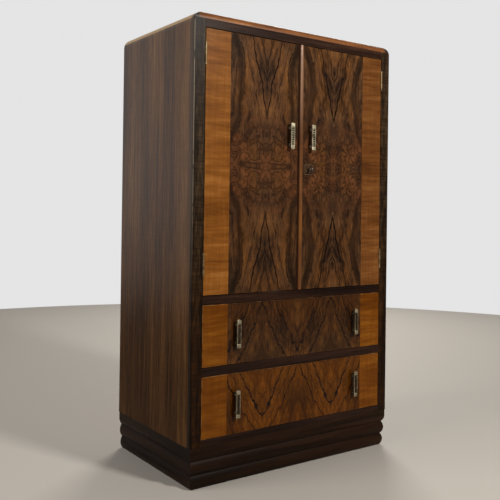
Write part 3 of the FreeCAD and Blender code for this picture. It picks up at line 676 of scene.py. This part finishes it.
bands = {
    "left_door_crossband": "left_door",
    "right_door_crossband": "right_door",
    "upper_drawer_crossband_left": "upper_drawer",
    "upper_drawer_crossband_right": "upper_drawer",
    "lower_drawer_crossband_left": "lower_drawer",
    "lower_drawer_crossband_right": "lower_drawer",
}
for node, body in bands.items():
    mesh = copyOf(node)
    low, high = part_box(node)
    inner = min(low.x, high.x, key=abs)
    edges = [edge for edge in frontArrises(mesh, low) if abs(centre(edge).x - inner) > near]
    ease(mesh, edges, panelEase)
    wood = "bandLow" if "drawer" in body else "bandLeft" if inner < 0 else "bandRight"
    piece(node + "_veneer", mesh, body, [woods[wood]], [node])
print("crossbands:", len(bands))

rounds = {
    "meeting_bead": ("right_door", "bead_walnut", "bead"),
    "top_board": ("carcass", "top_walnut", "top"),
    "plinth_front": ("carcass", "dark_plinth", "plinthAcross"),
    "plinth_left": ("carcass", "dark_plinth", "plinthDeep"),
    "plinth_right": ("carcass", "dark_plinth", "plinthDeep"),
}
for node, (body, slot, wood) in rounds.items():
    mesh = copyOf(node)
    soften(mesh)
    piece(node + "_round", mesh, body, [woods[wood]], [node])
print("rounded pieces:", len(rounds))

frames = {
    "stile_left": ("stile", 0.0018),
    "stile_right": ("stile", 0.0018),
    "top_rail": ("rail", 0.0006),
    "door_rail": ("rail", 0.0006),
    "drawer_rail": ("rail", 0.0006),
    "bottom_rail": ("rail", 0.0006),
}
frameLines = {"stileOutside": 0.35, "stileInside": 0.33, "railEnd": 0.3}
for node, (wood, width) in frames.items():
    mesh = copyOf(node)
    low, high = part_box(node)
    edges = frontArrises(mesh, low)
    if wood == "stile":
        # the outer edge is rounder and rubbed, partly a painted highlight, the inner one only broken
        edges = [edge for edge in edges if low.z + near < centre(edge).z < high.z - near]
        ease(mesh, [edge for edge in edges if abs(centre(edge).x) > frameLines["stileOutside"]], width)
        edges = frontArrises(mesh, low)
        edges = [edge for edge in edges if abs(centre(edge).x) < frameLines["stileInside"]]
        width = panelEase
    else:
        edges = [edge for edge in edges if abs(centre(edge).x) < frameLines["railEnd"]]
    ease(mesh, edges, width, 3, 0.0)
    piece(node + "_eased", mesh, "carcass", [woods[wood]], [node])

outFacing = 0.3
sideBoards = {"side_left": -1, "side_right": 1}
for node, sign in sideBoards.items():
    mesh = copyOf(node)
    soften(mesh)
    for face in mesh.faces:
        face.material_index = 0 if face.normal.x * sign > outFacing else 1
    piece(node + "_board", mesh, "carcass", [woods["side"], woods["plainUp"]], [node])
print("frame and sides:", len(frames) + len(sideBoards))


def block(mesh, low, high):
    spot = Matrix.Translation((low + high) / 2) @ Matrix.Diagonal((*(high - low), 1))
    verts = bmesh.ops.create_cube(mesh, size=1, matrix=spot)["verts"]
    return list({face for vert in verts for face in vert.link_faces})


def easedBlock(mesh, low, high, width):
    faces = block(mesh, low, high)
    ease(mesh, list({edge for face in faces for edge in face.edges}), width, 2)


def rod(mesh, spot, axis, radius, length, segments=18):
    turn = {"x": Matrix.Rotation(math.pi / 2, 4, "Y"), "y": Matrix.Rotation(math.pi / 2, 4, "X")}[axis]
    made = bmesh.ops.create_cone(
        mesh, cap_ends=True, segments=segments, radius1=radius, radius2=radius, depth=length,
        matrix=Matrix.Translation(spot) @ turn,
    )
    return list({face for vert in made["verts"] for face in vert.link_faces})


handleShape = {
    "thick": 0.0035, "end": 0.008, "tip": 0.003, "tipHalf": 0.00475, "tipThick": 0.0025, "lip": 0.0004,
    "rail": 0.0025, "channel": 0.0016, "wall": 0.0002, "ease": 0.0006,
    "rungs": 10, "rung": 0.0008, "rungSunk": 0.4, "rungSides": 8,
    "post": 0.0245, "postRadius": 0.003, "collar": 0.0043, "collarThick": 0.0012,
}


def makeHandle(node, body):
    shape = handleShape
    low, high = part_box(node)
    x, z = (low.x + high.x) / 2, (low.z + high.z) / 2
    half = (high.x - low.x) / 2
    front, back = low.y, low.y + shape["thick"]
    barEnd = (high.z - low.z) / 2 - shape["tip"]
    inner = barEnd - shape["end"]
    mesh = bmesh.new()
    face = front + shape["lip"]
    sides = block(mesh, Vector((x - half, face, z - inner)), Vector((x + half, back, z + inner)))
    ladder = min(sides, key=lambda side: side.calc_center_median().y)
    bmesh.ops.inset_individual(mesh, faces=[ladder], thickness=shape["rail"])
    walls = bmesh.ops.inset_individual(
        mesh, faces=[ladder], thickness=shape["wall"], depth=-shape["channel"],
    )
    for dark in walls["faces"] + [ladder]:
        dark.material_index = 1
    for sign in (-1, 1):
        ends = sorted((z + sign * inner, z + sign * barEnd))
        endLow = Vector((x - half, front, ends[0]))
        easedBlock(mesh, endLow, Vector((x + half, back, ends[1])), shape["ease"])
        ends = sorted((z + sign * (barEnd - shape["ease"]), z + sign * (barEnd + shape["tip"])))
        tipLow = Vector((x - shape["tipHalf"], back - shape["tipThick"], ends[0]))
        older = set(mesh.faces)
        easedBlock(mesh, tipLow, Vector((x + shape["tipHalf"], back, ends[1])), shape["ease"])
        for tip in set(mesh.faces) - older:
            tip.material_index = 2
        foot = Vector((x, (back + high.y) / 2, z + sign * shape["post"]))
        rod(mesh, foot, "y", shape["postRadius"], high.y - back)
        foot.y = high.y - shape["collarThick"] / 2
        rod(mesh, foot, "y", shape["collar"], shape["collarThick"])
    reach = inner - shape["rail"]
    width = 2 * (half - shape["rail"])
    rungY = face + shape["channel"] - shape["rung"] * shape["rungSunk"]
    for number in range(shape["rungs"]):
        level = z - reach + 2 * reach * (number + 0.5) / shape["rungs"]
        rung = rod(mesh, Vector((x, rungY, level)), "x", shape["rung"], width, shape["rungSides"])
        for side in rung:
            side.material_index = 2 if "drawer" in body else 0
    soften(mesh)
    bar = metals["drawer" if "drawer" in body else "handle"]
    piece(node + "_bar", mesh, body, [bar, metals["grimeAndShade"], metals["bronze"]], [node])


handles = {
    "left_door_handle": "left_door",
    "right_door_handle": "right_door",
    "upper_drawer_handle_left": "upper_drawer",
    "upper_drawer_handle_right": "upper_drawer",
    "lower_drawer_handle_left": "lower_drawer",
    "lower_drawer_handle_right": "lower_drawer",
}
for node, body in handles.items():
    makeHandle(node, body)
print("handles:", len(handles))

plateShape = {"ease": 0.0004, "pin": 0.0011, "pinInset": 0.003, "pinDome": 0.5}
mesh = copyOf("escutcheon")
low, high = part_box("escutcheon")
ease(mesh, [edge for edge in arrises(mesh) if centre(edge).y < high.y - near], plateShape["ease"], 2)
for x in (low.x + plateShape["pinInset"], high.x - plateShape["pinInset"]):
    for z in (low.z + plateShape["pinInset"], high.z - plateShape["pinInset"]):
        spot = Matrix.Translation((x, low.y, z)) @ Matrix.Diagonal((1, plateShape["pinDome"], 1, 1))
        made = bmesh.ops.create_uvsphere(
            mesh, u_segments=10, v_segments=6, radius=plateShape["pin"], matrix=spot,
        )
        for face in {face for vert in made["verts"] for face in vert.link_faces}:
            face.smooth = True
piece("escutcheon_plate", mesh, "right_door", [metals["bronze"]], ["escutcheon"])

keyShape = {"ease": 0.0006, "bowDepth": 0.0135}
mesh = copyOf("key")
low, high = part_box("key")
bowBack = low.y + keyShape["bowDepth"]
rim = []
for edge in mesh.edges:
    outside = len(edge.link_faces) == 2 and edge.is_convex and centre(edge).y < bowBack
    if outside and edge.calc_face_angle() > sharp:
        rim.append(edge)
ease(mesh, rim, keyShape["ease"], 2)
soften(mesh)
piece("key_polished", mesh, "key", [metals["key"]], ["key"])

screwShape = {
    "head": 0.0024, "proud": 0.0001, "depth": 0.0005, "sides": 16,
    "slot": 0.0006, "slotReach": 0.8, "slotProud": 0.00002,
    "y": -0.1935, "levels": (0.586, 1.141), "rows": (-0.02, 0, 0.02),
}
leafFaces = {"frame": 0.3222, "door": 0.3218}


def makeHingeScrews(name, body, faces):
    # a flush slotted screw wherever a leaf has one: faces lists (x, the way it looks)
    mesh = bmesh.new()
    shape = screwShape
    reach = shape["head"] * shape["slotReach"]
    for x, way in faces:
        for level in shape["levels"]:
            for row in shape["rows"]:
                spot = Vector((x + way * (shape["proud"] - shape["depth"] / 2), shape["y"], level + row))
                rod(mesh, spot, "x", shape["head"], shape["depth"], shape["sides"])
                # painted shade: each slot is a dark strip just proud of the head, standing in for the cut
                # slot's shade and grime
                outer = x + way * (shape["proud"] + shape["slotProud"])
                span = sorted((outer, outer - way * shape["depth"] / 2))
                low = Vector((span[0], spot.y - reach, spot.z - shape["slot"] / 2))
                high = Vector((span[1], spot.y + reach, spot.z + shape["slot"] / 2))
                for face in block(mesh, low, high):
                    face.material_index = 1
    soften(mesh)
    piece(name, mesh, body, [metals["dull"], metals["grimeAndShade"]])


makeHingeScrews("frame_hinge_screws", "carcass", [(leafFaces["frame"], -1), (-leafFaces["frame"], 1)])
makeHingeScrews("left_door_hinge_screws", "left_door", [(-leafFaces["door"], -1)])
makeHingeScrews("right_door_hinge_screws", "right_door", [(leafFaces["door"], 1)])

pinShape = {
    "head": 0.0018, "proud": 0.0002, "depth": 0.0008, "sides": 10,
    "columns": 7, "rows": 11, "inset": 0.005,
}


def pinPlace(first, last, count, number):
    # one place in an even row that keeps the inset at both ends
    inset = pinShape["inset"]
    return first + inset + (last - first - 2 * inset) * number / (count - 1)


low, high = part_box("back_panel")
mesh = copyOf("back_panel")
for vert in mesh.verts:
    if vert.co.y > high.y - near:
        vert.co.y -= pinShape["proud"]  # so the pin heads stay within the panel's own box
piece("back_panel_sheet", mesh, "carcass", [woods["ply"]], ["back_panel"])
mesh = bmesh.new()
spots = []
for number in range(pinShape["columns"]):
    x = pinPlace(low.x, high.x, pinShape["columns"], number)
    spots += [(x, low.z + pinShape["inset"]), (x, high.z - pinShape["inset"])]
for number in range(1, pinShape["rows"] - 1):
    z = pinPlace(low.z, high.z, pinShape["rows"], number)
    spots += [(low.x + pinShape["inset"], z), (high.x - pinShape["inset"], z)]
for x, z in spots:
    spot = Vector((x, high.y - pinShape["depth"] / 2, z))
    rod(mesh, spot, "y", pinShape["head"], pinShape["depth"], pinShape["sides"])
soften(mesh)
piece("back_panel_pins", mesh, "carcass", [metals["steel"]])
print("fittings and back panel done")

woodNodes = {
    "plainAcross": ["carcass_bottom", "cupboard_floor", "shelf_lower", "shelf_upper", "drawer_stops"],
    "plainDeep": ["guide_left", "guide_right", "runner_left", "runner_right"],
    "boxAcross": ["upper_drawer_back", "lower_drawer_back"],
    "boxDeep": [
        "upper_drawer_side_left", "upper_drawer_side_right",
        "lower_drawer_side_left", "lower_drawer_side_right",
    ],
    "ply": ["upper_drawer_bottom", "lower_drawer_bottom"],
    "plinthAcross": ["plinth_back"],
}
metalNodes = {
    "dull": ["frame_hinge_leaves", "left_door_hinge_leaves", "right_door_hinge_leaves"],
    "steel": [
        "hinge_pins", "lock_case", "lock_bolt", "left_door_handle_screws", "right_door_handle_screws",
        "upper_drawer_handle_screws", "lower_drawer_handle_screws",
    ],
}
for finishes, table in ((woods, woodNodes), (metals, metalNodes)):
    for finish, names in table.items():
        for node in names:
            nodes[node].material_slots[0].material = finishes[finish]
print("plain pieces finished")

floorShape = {"radius": 3.5, "sides": 96, "tone": (192, 186, 178), "rough": 0.7}
floorMesh = bmesh.new()
bmesh.ops.create_circle(
    floorMesh, cap_ends=True, segments=floorShape["sides"], radius=floorShape["radius"],
)
floorData = bpy.data.meshes.new("floor")
floorMesh.to_mesh(floorData)
floorMesh.free()
floorItem = bpy.data.objects.new("floor", floorData)
bpy.context.scene.collection.objects.link(floorItem)
made, board = startMaterial("pale_floor")
paint = {"Base Color": tone(*floorShape["tone"]), "Roughness": floorShape["rough"]}
shader = board.node("ShaderNodeBsdfPrincipled", {}, paint)
board.node("ShaderNodeOutputMaterial", {}, {"Surface": shader})
floorData.materials.append(made)

skyLook = {"seen": 0.78, "ambient": 0.12, "wall": 0.36, "room": 0.14, "wallSpan": (-0.4, 0.5)}
world = bpy.data.worlds.new("studio")
bpy.context.scene.world = world
world.use_nodes = True
world.node_tree.nodes.clear()
sky = Wire(world.node_tree)
seen = sky.node("ShaderNodeLightPath", {}, {}, "Is Camera Ray")
rays = seen.socket.node.outputs
glossy = Wire(sky.tree, rays["Is Glossy Ray"]).atLeast(Wire(sky.tree, rays["Is Transmission Ray"]))
aim = sky.node("ShaderNodeTexCoord", {}, {}, "Generated")
forward = sky.node("ShaderNodeSeparateXYZ", {}, {0: aim}, 1)
wallSide = step(sky, forward, *skyLook["wallSpan"])
ambient = skyLook["ambient"]
mirrored = wallSide * skyLook["wall"] + skyLook["room"] - ambient
strength = ambient + seen * (skyLook["seen"] - ambient) + glossy * mirrored
shader = sky.node("ShaderNodeBackground", {}, {"Color": (1, 1, 1, 1), "Strength": strength})
sky.node("ShaderNodeOutputWorld", {}, {"Surface": shader})

warmWhite = (1.0, 0.96, 0.9)


def softLight(name, spot, aim, size, watts):
    data = bpy.data.lights.new(name, "AREA")
    data.shape = "SQUARE"
    data.size = size
    data.energy = watts
    data.color = warmWhite
    made = bpy.data.objects.new(name, data)
    bpy.context.scene.collection.objects.link(made)
    made.location = spot
    made.rotation_euler = (Vector(aim) - Vector(spot)).to_track_quat("-Z", "Y").to_euler()
    return made


keyLight = softLight("key_light", (0.72, -3.1, 2.15), (0, -0.1, 0.8), 0.45, 95)
fillLight = softLight("fill_light", (-2.6, 0.2, 2.6), (-0.3, 0.0, 0.9), 1.4, 38)
backLight = softLight("back_light", (2.3, 2.6, 2.4), (0, 0.1, 0.7), 1.4, 75)

cameraView = {
    "yaw": 35.286, "pitch": 0.487, "roll": 0.727, "spot": (-1.3079, -1.8060, 0.7262),
    "lens": 51.8, "sensor": 36, "shift": (-0.0012, -0.0885),
}
yaw, pitch, roll = [math.radians(cameraView[angle]) for angle in ("yaw", "pitch", "roll")]
ahead = Vector((math.sin(yaw) * math.cos(pitch), math.cos(yaw) * math.cos(pitch), math.sin(pitch)))
right = Vector((math.cos(yaw), -math.sin(yaw), 0))
up = right.cross(ahead)
tiltRight = right * math.cos(roll) + up * math.sin(roll)
tiltUp = up * math.cos(roll) - right * math.sin(roll)
cameraData = bpy.data.cameras.new("camera")
cameraData.lens = cameraView["lens"]
cameraData.sensor_width = cameraView["sensor"]
cameraData.shift_x, cameraData.shift_y = cameraView["shift"]
camera = bpy.data.objects.new("camera", cameraData)
bpy.context.scene.collection.objects.link(camera)
turn = Matrix((tiltRight, tiltUp, -ahead)).transposed().to_4x4()
camera.matrix_world = Matrix.Translation(cameraView["spot"]) @ turn
bpy.context.scene.camera = camera
bpy.context.scene.view_settings.view_transform = "Standard"
print("stage, lights and camera done")
